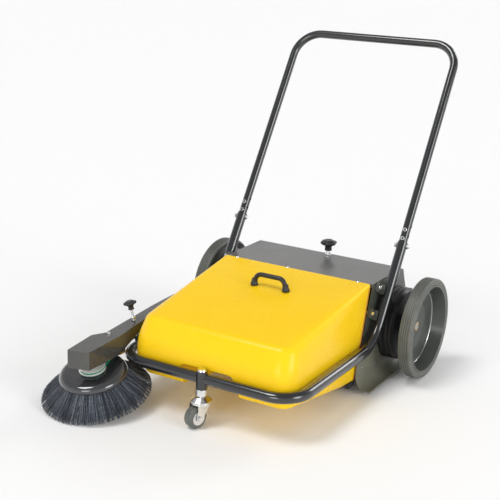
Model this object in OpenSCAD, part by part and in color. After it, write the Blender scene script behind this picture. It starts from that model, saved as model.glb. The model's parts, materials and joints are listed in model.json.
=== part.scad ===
// Walk behind sweeper: two large wheels drive a cylindrical main brush and,
// through a round belt, one side brush. A yellow hopper lifts out at the front.
// Frame: origin on the floor below the middle of the wheel axles, +Z up,
// front of the machine towards -Y, millimetres.

/* [Wheels] */
// Radius of the large wheels over the tyre
wheel_r = 150; // [148:1:152]
// Distance of the wheels' outer faces from the middle
wheel_out = 372; // [370:1:380]
// Width of the tyres
tyre_w = 40; // [34:1:42]
// Radius of the fixed stub axles
axle_r = 10; // [9:0.5:11]

/* [Frame tube and handle] */
// Distance of the tube's legs from the middle
leg_x = 274; // [273:0.5:275]
// Outer radius of the lower frame tube
frame_r = 15; // [14:0.5:15]
// Outer radius of the handle tube
handle_r = 12.5; // [12:0.5:12.5]
// Length of each handle leg above its joint bolt, to the top bar's middle
handle_len = 650; // [560:10:720]
// Backward lean of the handle, in degrees
lean = 32; // [31:0.5:33]
// Height of the bumper's middle above the floor
bumper_z = 133.5; // [132:0.5:135]
// Distance of the bumper's middle in front of the axles
bumper_y = 656; // [655:1:660]

/* [Brush housing] */
// Distance of each side plate's inner face from the middle
plate_in = 246; // [246:1:247]
// Thickness of the side plates
plate_t = 3; // [2:0.5:3]
// Height of the top cover
cover_z = 304; // [300:1:306]
// Radius of the main brush over its bristles
brush_r = 113; // [108:1:113]

/* [Side brush] */
// Radius of the side brush over its bristles
side_r = 153; // [145:1:155]
// Forward tilt of the side brush, in degrees
side_tilt = 13.5; // [12:0.5:15]

/* [Caster] */
// Radius of the caster wheel
caster_r = 30; // [28:1:30]
// Swivel angle at which the caster stands, in degrees
caster_turn = 18; // [0:1:90]

/* [Hidden] */
$fn = 48;

axle_z = wheel_r;
plate_out = plate_in + plate_t;
wheel_in = wheel_out - tyre_w;

// The joint bolt of the handle, where the handle's own plane starts
joint_y = -24;
joint_z = 395;
leg_dy = sin(lean);
leg_dz = cos(lean);

// Frame tube: leaning leg, a bend, a level run and a corner into the bumper
frame_wall = 2.4;
frame_bore = frame_r - frame_wall;
bend_r = 130;
corner_r = 80;
sleeve_top = 11;
bend_turn = 90 - lean;
bend_cut = bend_r * tan(bend_turn / 2);
leg_drop = (joint_z - bumper_z) / leg_dz;
bend_y = joint_y - leg_drop * leg_dy;
socket_y = -(bumper_y + 3);
socket_r = 15.5;

// Main brush: its shaft swings about the wheel axle, in mesh with the gear
mesh_module = 4;
gear_teeth = 27;
pinion_teeth = 12;
gear_from = 268;
gear_w = 18;
brush_y = -70;
brush_z = axle_z - sqrt(pow(mesh_module * (gear_teeth + pinion_teeth) / 2, 2) - pow(brush_y, 2));
shaft_r = 8;
brush_half = 229;
carrier_in = 237.5;
carrier_t = 5;
knob_x = 5;
knob_y = 41;
lever_z = 165;
brush_knob_z = 318;
brush_knob_h = 33;

// Hopper
hopper_top_z = 308;
hopper_wall = 3;

// Side brush frame: origin in the middle of the bristles' rim
side_x = -308;
side_y = -711;
rim_z = side_r * sin(side_tilt) + 1;
disc_h = 56;
pulley_h = 82;
pulley_groove_r = 32;

// Side arm and belt
belt_x = -306;
belt_r = 3;
drive_groove_r = 36;
groove_r = belt_r + 0.7;
side_knob_x = -301;
side_knob_y = -552.5;
guide_y = -622;
guide_inner_x = -298;
guide_outer_x = -314;

// Caster: the wheel trails its swivel axis
trail = 19;

// ---------------------------------------------------------------- shared shapes

module mirror_pair() {
    children();
    mirror([1, 0, 0]) children();
}

// Rod along X between two planes
module rod_x(x0, x1, r, y = 0, z = 0) {
    translate([x0, y, z]) rotate([0, 90, 0]) cylinder(h = x1 - x0, r = r);
}

// Ring along X between two planes
module ring_x(x0, x1, r, bore, y = 0, z = 0) {
    difference() {
        rod_x(x0, x1, r, y, z);
        rod_x(x0 - 1, x1 + 1, bore, y, z);
    }
}

// Flat plate across X from an outline given as [y, z] points
module plate_x(x0, x1, outline) {
    translate([x0, 0, 0]) rotate([90, 0, 90]) linear_extrude(x1 - x0) polygon(outline);
}

// Solid of revolution about the wheel axle from [radius, x] points
module turned_x(outline) {
    translate([0, 0, axle_z]) rotate([0, 90, 0]) rotate_extrude($fn = 96) polygon(outline);
}

module hex_x(x0, x1, across, y, z) {
    translate([x0, y, z]) rotate([0, 90, 0])
        cylinder(h = x1 - x0, r = across / sqrt(3), $fn = 6);
}

// The handle's own frame: +Z runs up along the leaning legs
module leaning() {
    translate([0, joint_y, joint_z]) rotate([-lean, 0, 0]) children();
}

// The side brush's own frame
module side_frame() {
    translate([side_x, side_y, rim_z]) rotate([side_tilt, 0, 0]) children();
}

// The caster's own frame: origin on the floor, wheel trailing towards -Y
module caster_frame() {
    translate([0, socket_y, 0]) rotate([0, 0, -caster_turn]) children();
}

// One flank point of an involute, at radius r from base radius rb
function involute_angle(r, rb) = sqrt(pow(r / rb, 2) - 1) * 180 / PI - acos(rb / r);

// Spur gear outline with slim involute teeth, tooth 0 centred on +X
function gear_points(teeth, mod, slim, turn) =
    let (rp = mod * teeth / 2, rb = rp * cos(25), ro = rp + 0.8 * mod, ri = rp - mod,
         half = 90 / teeth - slim / rp * 90 / PI + involute_angle(rp, rb),
         rs = [for (i = [0:3]) let (lo = max(rb, ri) + 0.01) lo + (ro - lo) * i / 3])
    [for (t = [0:teeth - 1]) let (mid = t * 360 / teeth + turn)
        each concat(
            [[ri * cos(mid - half), ri * sin(mid - half)]],
            [for (r = rs) let (a = mid - half + involute_angle(r, rb)) [r * cos(a), r * sin(a)]],
            [for (i = [3:-1:0]) let (r = rs[i], a = mid + half - involute_angle(r, rb))
                [r * cos(a), r * sin(a)]],
            [[ri * cos(mid + half), ri * sin(mid + half)]])];

// ---------------------------------------------------------------- brush housing

plate_outline = [
    [-152, cover_z - 3], [64, 297], [94, 225], [94, 60], [80, 42],
    [-203, 42], [-212, 60], [-209, 142]];

module side_plate_right() {
    color("#3c4038") difference() {
        plate_x(plate_in, plate_out, plate_outline);
        rod_x(plate_in - 1, plate_out + 1, axle_r + 0.2, 0, axle_z);
        rod_x(plate_in - 1, plate_out + 1, 18, brush_y, brush_z);
        saddle_holes(plate_in - 1, plate_out + 1);
        skirt_holes(plate_in - 1, plate_out + 1);
    }
}

module side_plate_left() {
    color("#3c4038") mirror([1, 0, 0]) difference() {
        plate_x(plate_in, plate_out, plate_outline);
        rod_x(plate_in - 1, plate_out + 1, axle_r + 0.2, 0, axle_z);
        saddle_holes(plate_in - 1, plate_out + 1);
        skirt_holes(plate_in - 1, plate_out + 1);
    }
}

// Folded sheet between the side plates
module top_cover() {
    half = plate_in - 0.5;
    color("#6e6e72") difference() {
        translate([-half, -150, cover_z - 25]) cube([2 * half, 201, 25]);
        translate([-half + 2, -148, cover_z - 26]) cube([2 * half - 4, 197, 24]);
        translate([-half - 1, -151, cover_z - 26]) cube([2 * half + 2, 10, 16]);
        translate([knob_x, knob_y, cover_z - 5]) cylinder(h = 10, r = 5.1);
        mirror_pair() leaning() translate([0, -saddle_reach, saddle_along[0]])
            rod_x(plate_in - 8, plate_in + 1, 9);
    }
}

// Sloping and upright rear wall, folded from one sheet
module rear_panel() {
    half = plate_in - 0.5;
    color("#3c4038") plate_x(-half, half,
        [[51, 303], [55, 303], [92, 226], [92, 62], [90, 62], [90, 225.5], [51, 301]]);
}

module rear_flap() {
    color("#1c1c1c") translate([-240, 87, 6]) cube([480, 3, 80]);
}

// Rubber skirt: upright against the plate, then flaring outwards to its edge
module side_skirts() {
    flare_r = 36;
    thick = 3.5;
    mid = [plate_out + thick + flare_r, 51];
    outer = [for (a = [180:9:270]) mid + flare_r * [cos(a), sin(a)]];
    inner = [for (a = [270:-9:180]) mid + (flare_r + thick) * [cos(a), sin(a)]];
    outline = concat([[plate_out + thick, 108]], outer, [[297, 15], [297, 15 - thick]], inner,
        [[plate_out, 108]]);
    color("#55584a") mirror_pair() difference() {
        translate([0, 60, 0]) rotate([90, 0, 0]) linear_extrude(300) polygon(outline);
        rod_x(plate_out - 1, 320, case_r + 2, 0, axle_z);
        skirt_holes(plate_out - 1, plate_out + 10);
    }
}

skirt_screw_spots = [[-205, 70], [-120, 56]];

module skirt_holes(x0, x1) {
    for (p = skirt_screw_spots) rod_x(x0, x1, 2.6, p[0], p[1]);
}

module skirt_screws() {
    color("#c8c8c4") mirror_pair() for (p = skirt_screw_spots) {
        rod_x(plate_in - 5, plate_out + 3.5, 2.5, p[0], p[1]);
        rod_x(plate_out + 3.5, plate_out + 6, 5, p[0], p[1]);
        hex_x(plate_in - 4, plate_in, 8, p[0], p[1]);
    }
}

// ---------------------------------------------------------------- frame tube

// Half of the frame tube as a solid rod; the leg's end sinks a little into
// the slimmer lower bend so that the two fuse cleanly
module frame_run() {
    sink = 1;
    run_y = bend_y - bend_cut;
    run_len = bumper_y - corner_r + run_y;
    leaning() translate([leg_x, 0, -leg_drop + bend_cut - sink])
        cylinder(h = leg_drop - bend_cut + sleeve_top + sink, r = frame_r);
    translate([leg_x, run_y, bumper_z + bend_r]) rotate([0, 90, 0])
        rotate_extrude(angle = bend_turn) translate([bend_r, 0]) circle(r = frame_r - 0.25);
    translate([leg_x, run_y + sink, bumper_z]) rotate([90, 0, 0])
        cylinder(h = run_len + sink, r = frame_r);
    translate([leg_x - corner_r, -bumper_y + corner_r, bumper_z]) rotate([0, 0, -90])
        rotate_extrude(angle = 90) translate([corner_r, 0]) circle(r = frame_r);
    translate([0, -bumper_y, bumper_z]) rotate([0, 90, 0])
        cylinder(h = leg_x - corner_r, r = frame_r);
}

module frame_half() {
    color("#26282c") difference() {
        frame_run();
        frame_run_bore();
        translate([0, socket_y, 0]) cylinder(h = 300, r = socket_r);
        translate([-20, -bumper_y - 40, 0]) cube([20, 80, 300]);
        leaning() rod_x(leg_x - 30, leg_x + 30, 4.1);
    }
}

// The tube's bore is open only in its leg, where the handle slides in
module frame_run_bore() {
    leaning() translate([leg_x, 0, -70]) cylinder(h = 70 + sleeve_top + 1, r = frame_bore);
}

module frame_tube_right() { frame_half(); }
module frame_tube_left() { mirror([1, 0, 0]) frame_half(); }

module caster_socket() {
    color("#202226") difference() {
        translate([0, socket_y, 106]) cylinder(h = 50, r = socket_r);
        translate([0, socket_y, 105]) cylinder(h = 52, r = 8.05);
    }
}

// Blocks between tube and side plate, hollowed to the tube
saddle_along = [-143, -222];
saddle_reach = 34;

module saddle_holes(x0, x1) {
    for (s = saddle_along, side = [-1, 1])
        leaning() translate([0, side * saddle_reach, s]) rod_x(x0, x1, 4.1);
}

module tube_saddles() {
    foot = leg_x - frame_r - plate_out;
    color("#2c2f2e") mirror_pair() difference() {
        for (s = saddle_along) leaning() {
            translate([plate_out, -saddle_reach - 7, s - 14]) cube([foot, 2 * saddle_reach + 14, 28]);
            translate([plate_out, -22, s - 14]) cube([foot + 9, 44, 28]);
        }
        saddle_holes(plate_out - 1, 300);
        leaning() translate([leg_x, 0, -300]) cylinder(h = 300, r = frame_r);
    }
}

module saddle_bolts() {
    head = leg_x - frame_r;
    color("#c8c8c4") mirror_pair() for (s = saddle_along, side = [-1, 1])
        leaning() translate([0, side * saddle_reach, s]) {
            rod_x(plate_in - 5, head, 4);
            rod_x(head, head + 1.5, 7);
            hex_x(head + 1.5, head + 7, 13, 0, 0);
            hex_x(plate_in - 4.5, plate_in, 13, 0, 0);
        }
}

// ---------------------------------------------------------------- handle

hole_pitch = 30;

module handle_run(r) {
    leaning() {
        mirror_pair() {
            translate([leg_x, 0, -60]) cylinder(h = handle_len + 60 - corner_r, r = r);
            translate([leg_x - corner_r, 0, handle_len - corner_r]) rotate([90, 0, 0])
                rotate_extrude(angle = 90) translate([corner_r, 0]) circle(r = r);
        }
        translate([-leg_x + corner_r, 0, handle_len]) rotate([0, 90, 0])
            cylinder(h = 2 * (leg_x - corner_r), r = r);
    }
}

module handle_tube() {
    color("#26282c") difference() {
        handle_run(handle_r);
        leaning() for (side = [-1, 1], n = [0:2])
            translate([side * leg_x, 0, n * hole_pitch]) rod_x(-20, 20, 4.1);
        leaning() for (side = [-1, 1]) translate([side * leg_x, 0, -61])
            cylinder(h = 200, r = handle_r - 1.5);
    }
}

module handle_bolts() {
    color("#b8b8b4") leaning() mirror_pair() {
        rod_x(leg_x - 22, leg_x + 24, 4);
        hex_x(leg_x + frame_r, leg_x + frame_r + 5.5, 13, 0, 0);
        hex_x(leg_x - frame_r - 6.5, leg_x - frame_r, 13, 0, 0);
    }
}

// ---------------------------------------------------------------- wheels

// Fixed stub axles with a bolted flange; the left one carries the arm's pivot
flange_t = 5;
boss_x = 301;

module stub_axles() {
    color("#9c9ea0") {
        axle_body(plate_out + 3, plate_out + 3 + flange_t, axle_r);
        mirror([1, 0, 0]) axle_body(plate_out, plate_out + 8, 15);
    }
}

// One axle: spigot through the plate, flange, shoulder and wheel seat
module axle_body(flange_from, flange_to, shoulder_r) {
    rod_x(carrier_in - 1, 330, axle_r, 0, axle_z);
    rod_x(flange_from, flange_to, 26, 0, axle_z);
    rod_x(flange_to, boss_x - 1, shoulder_r, 0, axle_z);
}

module axle_nuts() {
    color("#c8a878") mirror_pair() {
        ring_x(320.5, 322.5, 15, axle_r, 0, axle_z);
        difference() {
            hex_x(322.5, 331, 26, 0, axle_z);
            rod_x(322, 332, axle_r, 0, axle_z);
        }
    }
}

module tyre_right() {
    shoulder = 7;
    color("#4a4d4f") turned_x(concat(
        [[131, wheel_in + 2], [wheel_r - shoulder, wheel_in]],
        [for (a = [0:15:90]) [wheel_r - shoulder + shoulder * sin(a),
            wheel_in + shoulder - shoulder * cos(a)]],
        [for (a = [0:15:90]) [wheel_r - shoulder + shoulder * cos(a),
            wheel_out - shoulder + shoulder * sin(a)]],
        [[134, wheel_out], [131, wheel_out - 3]]));
}

module tyre_left() { mirror([1, 0, 0]) tyre_right(); }

// Dished wheel: drum wall inside the tyre, sloping web and hub boss
module wheel_rim_right() {
    color("#3a3d40") turned_x([
        [17, boss_x], [28, boss_x], [28, 309], [112, 325], [131, 338],
        [131, wheel_out - 1], [127, wheel_out - 1], [114, 331], [108, 329],
        [36, 316], [28, 320], [17, 320]]);
}

module wheel_rim_left() { mirror([1, 0, 0]) wheel_rim_right(); }

module wheel_bearings_right() {
    color("#9c9ea0") for (x = [boss_x + 1, 313])
        ring_x(x, x + 6, 17, axle_r + 0.05, 0, axle_z);
}

module wheel_bearings_left() { mirror([1, 0, 0]) wheel_bearings_right(); }

// Pulley on the left wheel's hub
module belt_drive_pulley() {
    flange = drive_groove_r + 5;
    color("#d8d8d2") mirror([1, 0, 0]) turned_x(concat(
        [[28, 309], [28, boss_x], [flange, boss_x], [flange, -belt_x - groove_r - 0.6]],
        [for (a = [270:-20:90]) [drive_groove_r, -belt_x] + groove_r * [cos(a), sin(a)]],
        [[flange, -belt_x + groove_r + 0.6], [flange, 311]]));
}

// ---------------------------------------------------------------- main brush drive

case_r = 108.5;
case_end = 298;

// Round case over the gears, with shallow concentric ribs
module gear_case() {
    color("#26282a") difference() {
        turned_x([
            [27, plate_out], [case_r, plate_out], [case_r, 262], [case_r - 1, 263],
            [case_r - 1, 269], [case_r, 270], [case_r, 276], [case_r - 1, 277],
            [case_r - 1, 283], [case_r, 284], [case_r, case_end - 8],
            [case_r - 8, case_end], [40, case_end], [40, case_end - 3],
            [case_r - 9, case_end - 3], [case_r - 2.4, case_end - 9.6],
            [case_r - 2.4, plate_out + 3], [27, plate_out + 3]]);
        rod_x(plate_out - 1, plate_out + 4, 18, brush_y, brush_z);
    }
}

// Direction from the gear to the pinion, and tooth phases; the pinion starts
// at one end of its backlash, because it nears the other as the brush lifts
mesh_dir = atan2(brush_z - axle_z, brush_y);
slim = 1.28;
gear_turn = mesh_dir;
pinion_turn = mesh_dir + 180 + 180 / pinion_teeth - 2.48;

module toothed_x(x0, width, y, z, teeth, turn) {
    translate([x0, y, z]) rotate([90, 0, 90])
        linear_extrude(width) polygon(gear_points(teeth, mesh_module, slim, turn));
}

// Spur gear and its sleeve, bolted to the right wheel's boss
module drive_gear() {
    color("#e0ddd0") difference() {
        union() {
            toothed_x(gear_from, gear_w, 0, axle_z, gear_teeth, gear_turn);
            rod_x(gear_from, boss_x, 24, 0, axle_z);
        }
        rod_x(gear_from - 1, boss_x + 1, axle_r + 0.05, 0, axle_z);
    }
}

module drive_pinion() {
    color("#e0ddd0") difference() {
        toothed_x(gear_from, gear_w, brush_y, brush_z, pinion_teeth, pinion_turn);
        rod_x(gear_from - 1, gear_from + gear_w + 1, shaft_r, brush_y, brush_z);
    }
}

// Two swinging arms turning on the stub axles, and the bar that the screw presses on
module brush_carrier() {
    color("#6a6d70") {
        mirror_pair() difference() {
            hull() {
                rod_x(carrier_in, carrier_in + carrier_t, 22, 0, axle_z);
                rod_x(carrier_in, carrier_in + carrier_t, 24, brush_y, brush_z);
                rod_x(carrier_in, carrier_in + carrier_t, 10, knob_y, lever_z);
            }
            rod_x(carrier_in - 1, carrier_in + carrier_t + 1, axle_r + 0.05, 0, axle_z);
            rod_x(carrier_in - 1, carrier_in + carrier_t + 1, 16, brush_y, brush_z);
        }
        rod_x(-carrier_in, carrier_in, 6, knob_y, lever_z);
        translate([knob_x - 7, knob_y - 5, lever_z]) cube([14, 10, 8]);
    }
}

module brush_bearings() {
    color("#b0b2b4") mirror_pair()
        ring_x(carrier_in - 2, carrier_in + carrier_t, 16, shaft_r + 0.05, brush_y, brush_z);
}

module brush_shaft() {
    color("#9c9ea0") rod_x(-carrier_in - carrier_t + 1, gear_from + gear_w + 4, shaft_r,
        brush_y, brush_z);
}

module brush_core() {
    color("#d8d4c8") ring_x(-brush_half, brush_half, 45, shaft_r, brush_y, brush_z);
}

module brush_bristles() {
    color("#22262e") ring_x(-brush_half + 2, brush_half - 2, brush_r, 45, brush_y, brush_z);
}

// Lobed knob with a blind hole for its screw
module lobed_knob(r, h) {
    difference() {
        union() {
            cylinder(h = h * 0.45, r1 = r * 0.42, r2 = r * 0.5);
            translate([0, 0, h * 0.45]) cylinder(h = h * 0.2, r1 = r * 0.5, r2 = r);
            translate([0, 0, h * 0.65]) cylinder(h = h * 0.2, r = r);
            translate([0, 0, h * 0.85]) cylinder(h = h * 0.15, r1 = r, r2 = r * 0.72);
        }
        for (a = [0:60:300]) rotate([0, 0, a]) translate([r * 1.22, 0, h * 0.3])
            cylinder(h = h, r = r * 0.36);
        translate([0, 0, -1]) cylinder(h = h * 0.5, r = 4);
    }
}

module brush_knob() {
    color("#1c1c1e") translate([knob_x, knob_y, brush_knob_z]) lobed_knob(26, brush_knob_h);
}

module brush_knob_screw() {
    tip_z = lever_z + 8.3;
    color("#c4c6c8") translate([knob_x, knob_y, 0]) {
        translate([0, 0, tip_z])
            cylinder(h = brush_knob_z + brush_knob_h / 2 - 1 - tip_z, r = 4);
        translate([0, 0, cover_z]) cylinder(h = 2, r = 10);
        translate([0, 0, cover_z + 2]) cylinder(h = 7, r = 13 / sqrt(3), $fn = 6);
    }
}

// ---------------------------------------------------------------- hopper

// Corner post of the hopper's plan at height z
module post(x, y, z, r, h = 2) {
    translate([x, y, z]) cylinder(h = h, r = r, $fn = 24);
}

// Hood above the bumper; s shrinks it for the inside
module hood(s) {
    hull() mirror_pair() {
        post(236 - s, -164, hopper_top_z - 8 - s, 7, 8);
        post(190 - s, -564 + s, 243 - s, 52, 8);
        post(197 - s, -585 + s, 190, 53);
        post(199 - s, -586 + s, 134, 52);
        post(244 - s, -222 - s, 134, 6);
    }
}

// Bin below the bumper
module bin(s) {
    hull() mirror_pair() {
        post(197 - s, -583 + s, 134, 50);
        post(244 - s, -222 - s, 134, 6);
        post(197 - s, -576 + s, 82 + s, 38);
        post(228 - s, -300 - s, 36 + s, 8);
        post(236 - s, -234 - s, 36 + s, 6);
    }
}

// Raised front arch that leaves room above the caster; g makes it larger
module front_arch(g) {
    half = 88 + g;
    top = 152 + g;
    chamfer = 22;
    intersection() {
        plate_x(-half, half, [[-660, 30], [-660, top], [-628, top], [-425 + g, 54 + g],
            [-425 + g, 30]]);
        translate([0, -200, 0]) rotate([90, 0, 0]) linear_extrude(500) polygon([
            [-half, 20], [-half, top - chamfer], [-half + chamfer, top],
            [half - chamfer, top], [half, top - chamfer], [half, 20]]);
    }
}

module hopper_shell() {
    mouth = 226;
    color("#f4c318") difference() {
        union() {
            hood(0);
            bin(0);
        }
        difference() {
            union() {
                hood(hopper_wall);
                bin(hopper_wall);
            }
            front_arch(hopper_wall);
        }
        front_arch(0);
        plate_x(-mouth, mouth, [[-100, 300], [-170, 300], [-260, 50], [-100, 50]]);
    }
}

// Rubber lip along the lower edge of the hopper's mouth
module hopper_lip() {
    color("#1c1c1c") translate([-222, -240, 24]) cube([444, 16, 12]);
}

hopper_slope = atan2(57, 445);

// Frame on the hopper's sloping top
module hopper_top_frame(y) {
    translate([0, y, hopper_top_z - (-y - 171) * tan(hopper_slope)])
        rotate([hopper_slope, 0, 0]) children();
}

module hopper_handle() {
    color("#202124") hopper_top_frame(-312) {
        mirror_pair() {
            translate([53, 0, 0]) hull() {
                translate([-9, -11, 0]) cube([18, 22, 6]);
                translate([-11, -7, 30]) cube([6, 14, 8]);
            }
        }
        translate([-44, -7, 30]) cube([88, 14, 9]);
    }
}

module hopper_screws() {
    color("#c8c8c4") for (x = [-200, -25, 205])
        translate([x, -164, hopper_top_z]) cylinder(h = 2.2, r1 = 5, r2 = 3);
}

// ---------------------------------------------------------------- side arm

arm_slope = 25 / 680;

// Plan outline of the arm's box; s insets it for the sheet's inside
function arm_plan(s) = [
    [-264 - s, -796 + s], [-264 - s, -664], [-293 - s, -430], [-293 - s, -190 - s],
    [-325 + s, -190 - s], [-325 + s, -430], [-312 + s, -664], [-334 + s, -700],
    [-324 + s, -812 + s]];

// Side outline [y, z]; the box is open below
function arm_side(s) = [
    [-830, 189 - s], [-150, 189 + 680 * arm_slope - s], [-150, 178 - 60 * s / 2], [-573, 168 - 60 * s / 2],
    [-664, 141 - 60 * s / 2], [-830, 138 - 60 * s / 2]];

module arm_box(s) {
    intersection() {
        translate([0, 0, 90 - 60 * s]) linear_extrude(200 + 60 * s) polygon(arm_plan(s));
        plate_x(-400, -200, arm_side(s));
    }
}

module side_arm() {
    sheet = 2;
    color("#4e4f4c") difference() {
        union() {
            difference() {
                arm_box(0);
                arm_box(sheet);
            }
            hull() {
                plate_x(-299, -293, [[-262, 180], [-262, 206], [-192, 208], [-192, 180]]);
                rod_x(-299, -293, 30, 0, axle_z);
            }
        }
        rod_x(-400, -200, 19, 0, axle_z);
        side_knob_frame() translate([0, 0, -20]) cylinder(h = 40, r = 5.1);
        arm_top_frame(-300, -668) translate([0, 0, -5]) cylinder(h = 10, r = 3);
    }
}

// Slanting frame of the side knob, with its origin on the arm's top
module side_knob_frame() {
    translate([side_knob_x, side_knob_y, 200]) rotate([5, -12, 0]) children();
}

// Frame on the arm's sloping top
module arm_top_frame(x, y) {
    translate([x, y, 189 + (y + 830) * arm_slope]) rotate([atan(arm_slope), 0, 0]) children();
}

// Everything below the inner face of the arm's top sheet
module under_arm_top() {
    plate_x(-345, -255, [[-830, 0], [-150, 0], [-150, 187 + 680 * arm_slope], [-830, 187]]);
}

module side_arm_bush() {
    color("#9c9ea0") ring_x(-299, -276, 19, 15.05, 0, axle_z);
}

// Bolt head on the arm's top, above the belt guides
module side_arm_bolt() {
    color("#d0d0cc") arm_top_frame(-300, -668) {
        cylinder(h = 4, r = 6);
        translate([0, 0, -14]) cylinder(h = 14, r = 3);
    }
}

// Fixed spindle that the side brush turns on
module side_spindle() {
    color("#9c9ea0") intersection() {
        side_frame() translate([0, 0, 60]) cylinder(h = 110, r = 8);
        under_arm_top();
    }
}

module side_brush_bearing() {
    color("#b0b2b4") side_frame() difference() {
        translate([0, 0, 72]) cylinder(h = 20, r = 16);
        translate([0, 0, 71]) cylinder(h = 22, r = 8.05);
    }
}

// Strap under the arm with one pin for the two belt rollers
module belt_guide_bracket() {
    color("#b8a070") {
        intersection() {
            translate([-290, guide_y - 12, 124]) cube([3, 24, 80]);
            under_arm_top();
        }
        rod_x(-321, -289, 3, guide_y, guide_z);
        rod_x(-322.5, -320.5, 5, guide_y, guide_z);
    }
}

module roller(x) {
    color("#d8d8d2") ring_x(x - 4.5, x + 4.5, 6, 3.05, guide_y, guide_z);
}

module guide_roller_inner() { roller(guide_inner_x); }
module guide_roller_outer() { roller(guide_outer_x); }

// Stop on the frame tube under the side knob's screw
module arm_stop_bracket() {
    color("#2c2f2e") difference() {
        translate([-294.5, side_knob_y - 4, 138]) cube([14.5, 16, 15]);
        translate([-leg_x, side_knob_y - 20, bumper_z]) rotate([-90, 0, 0])
            cylinder(h = 50, r = frame_r);
    }
}

module side_knob() {
    color("#1c1c1e") side_knob_frame() translate([0, 0, 32]) lobed_knob(19, 26);
}

module side_knob_screw() {
    color("#c4c6c8") side_knob_frame() {
        translate([0, 0, -47]) cylinder(h = 91, r = 4);
        translate([0, 0, 4]) cylinder(h = 6, r = 13 / sqrt(3), $fn = 6);
    }
}

// ---------------------------------------------------------------- round belt

side_axis = [0, -sin(side_tilt), cos(side_tilt)];
side_across = [0, cos(side_tilt), sin(side_tilt)];
pulley_mid = [side_x, side_y, rim_z] + pulley_h * side_axis;

belt_guide_z = pulley_mid[2] + (guide_y - pulley_mid[1]) * tan(side_tilt);
guide_z = belt_guide_z - belt_r - 6.4;

// Angle on the side pulley where a strand towards the guide point x leaves it
function leave_angle(x, side) =
    let (across = x - side_x, along = (guide_y - pulley_mid[1]) / cos(side_tilt))
    atan2(along, across) - side * acos(pulley_groove_r / norm([across, along]));
wrap_from = leave_angle(guide_outer_x, -1);
wrap_to = leave_angle(guide_inner_x, 1) + 360;

// Closed route: front wrap, strand over the inner roller, rear wrap, outer strand
belt_route = concat(
    [for (i = [0:18]) let (a = wrap_from + (wrap_to - wrap_from) * i / 18)
        pulley_mid + pulley_groove_r * (cos(a) * [1, 0, 0] + sin(a) * side_across)],
    [[guide_inner_x, guide_y, belt_guide_z]],
    [for (i = [0:16]) let (a = 94 - 188 * i / 16)
        [belt_x, drive_groove_r * cos(a), axle_z + drive_groove_r * sin(a)]],
    [[guide_outer_x, guide_y, belt_guide_z]]);

// Tube swept round a closed route
module closed_tube(route, r, sides) {
    count = len(route);
    rings = [for (i = [0:count - 1])
        let (before = route[(i + count - 1) % count], after = route[(i + 1) % count],
             way = (after - before) / norm(after - before),
             across = cross(way, [0.1, 0.2, 1]) / norm(cross(way, [0.1, 0.2, 1])),
             up = cross(across, way))
        for (s = [0:sides - 1]) let (a = s * 360 / sides)
            route[i] + r * (cos(a) * across + sin(a) * up)];
    faces = [for (i = [0:count - 1], s = [0:sides - 1])
        [i * sides + s, i * sides + (s + 1) % sides,
         ((i + 1) % count) * sides + (s + 1) % sides, ((i + 1) % count) * sides + s]];
    polyhedron(rings, faces, convexity = 10);
}

module side_belt() {
    color("#1e8a62") closed_tube(belt_route, belt_r, 8);
}

// ---------------------------------------------------------------- side brush

// Solid of revolution about the side brush's axis from [radius, height] points
module side_turned(outline) {
    side_frame() rotate_extrude($fn = 96) polygon(outline);
}

module side_pulley() {
    flange = pulley_groove_r + 5;
    color("#e8e8e2") side_turned(concat(
        [[16, pulley_h - 5.5], [flange, pulley_h - 5.5], [flange, pulley_h - groove_r - 0.6]],
        [for (a = [270:-20:90]) [pulley_groove_r, pulley_h] + groove_r * [cos(a), sin(a)]],
        [[flange, pulley_h + groove_r + 0.6], [flange, pulley_h + 5.5], [16, pulley_h + 5.5]]));
}

module side_brush_disc() {
    color("#2a2c30") side_turned([
        [16, disc_h], [93, disc_h], [94, disc_h + 2], [94, disc_h + 6], [92.5, disc_h + 10.5],
        [89.5, disc_h + 14.5], [85.5, disc_h + 17.5], [81, disc_h + 19.4], [76, disc_h + 20],
        [16, disc_h + 20]]);
}

module side_brush_bristles() {
    color("#303846") side_turned([
        [58, disc_h], [92, disc_h], [side_r, 3], [side_r - 2, 0], [108, 0]]);
}

// ---------------------------------------------------------------- caster

module caster_stem() {
    color("#d0d2d4") translate([0, socket_y, 0]) {
        translate([0, 0, 78]) cylinder(h = 80, r = 8);
        translate([0, 0, 88]) cylinder(h = 18, r = 16);
        translate([0, 0, 156]) cylinder(h = 5, r1 = 13, r2 = 11);
    }
}

// Swivel head and fork in one pressed body
module caster_fork() {
    leg_in = 17;
    color("#c8cacc") caster_frame() {
        difference() {
            union() {
                translate([0, 0, 66]) cylinder(h = 8, r = 28);
                translate([0, 0, 74]) cylinder(h = 10, r1 = 28, r2 = 17);
            }
            translate([0, 0, 64]) cylinder(h = 30, r = 8.05);
        }
        mirror_pair() difference() {
            hull() {
                rod_x(leg_in, leg_in + 2.5, 9, -trail, caster_r);
                translate([leg_in, -24, 64]) cube([2.5, 40, 2]);
            }
            rod_x(leg_in - 1, leg_in + 4, 4, -trail, caster_r);
        }
    }
}

module caster_axle() {
    color("#b0b2b4") caster_frame() {
        rod_x(-22, 22, 4, -trail, caster_r);
        hex_x(19.5, 25, 13, -trail, caster_r);
        hex_x(-25, -19.5, 13, -trail, caster_r);
    }
}

module caster_hub() {
    color("#c8cacc") caster_frame() ring_x(-15.5, 15.5, 19, 4.05, -trail, caster_r);
}

module caster_tyre() {
    color("#4a4e52") caster_frame() translate([0, -trail, caster_r]) rotate([0, 90, 0])
        rotate_extrude($fn = 64) polygon([
            [19, -14], [26, -14], [29, -11], [caster_r, -6], [caster_r, 6], [29, 11],
            [26, 14], [19, 14]]);
}

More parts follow.
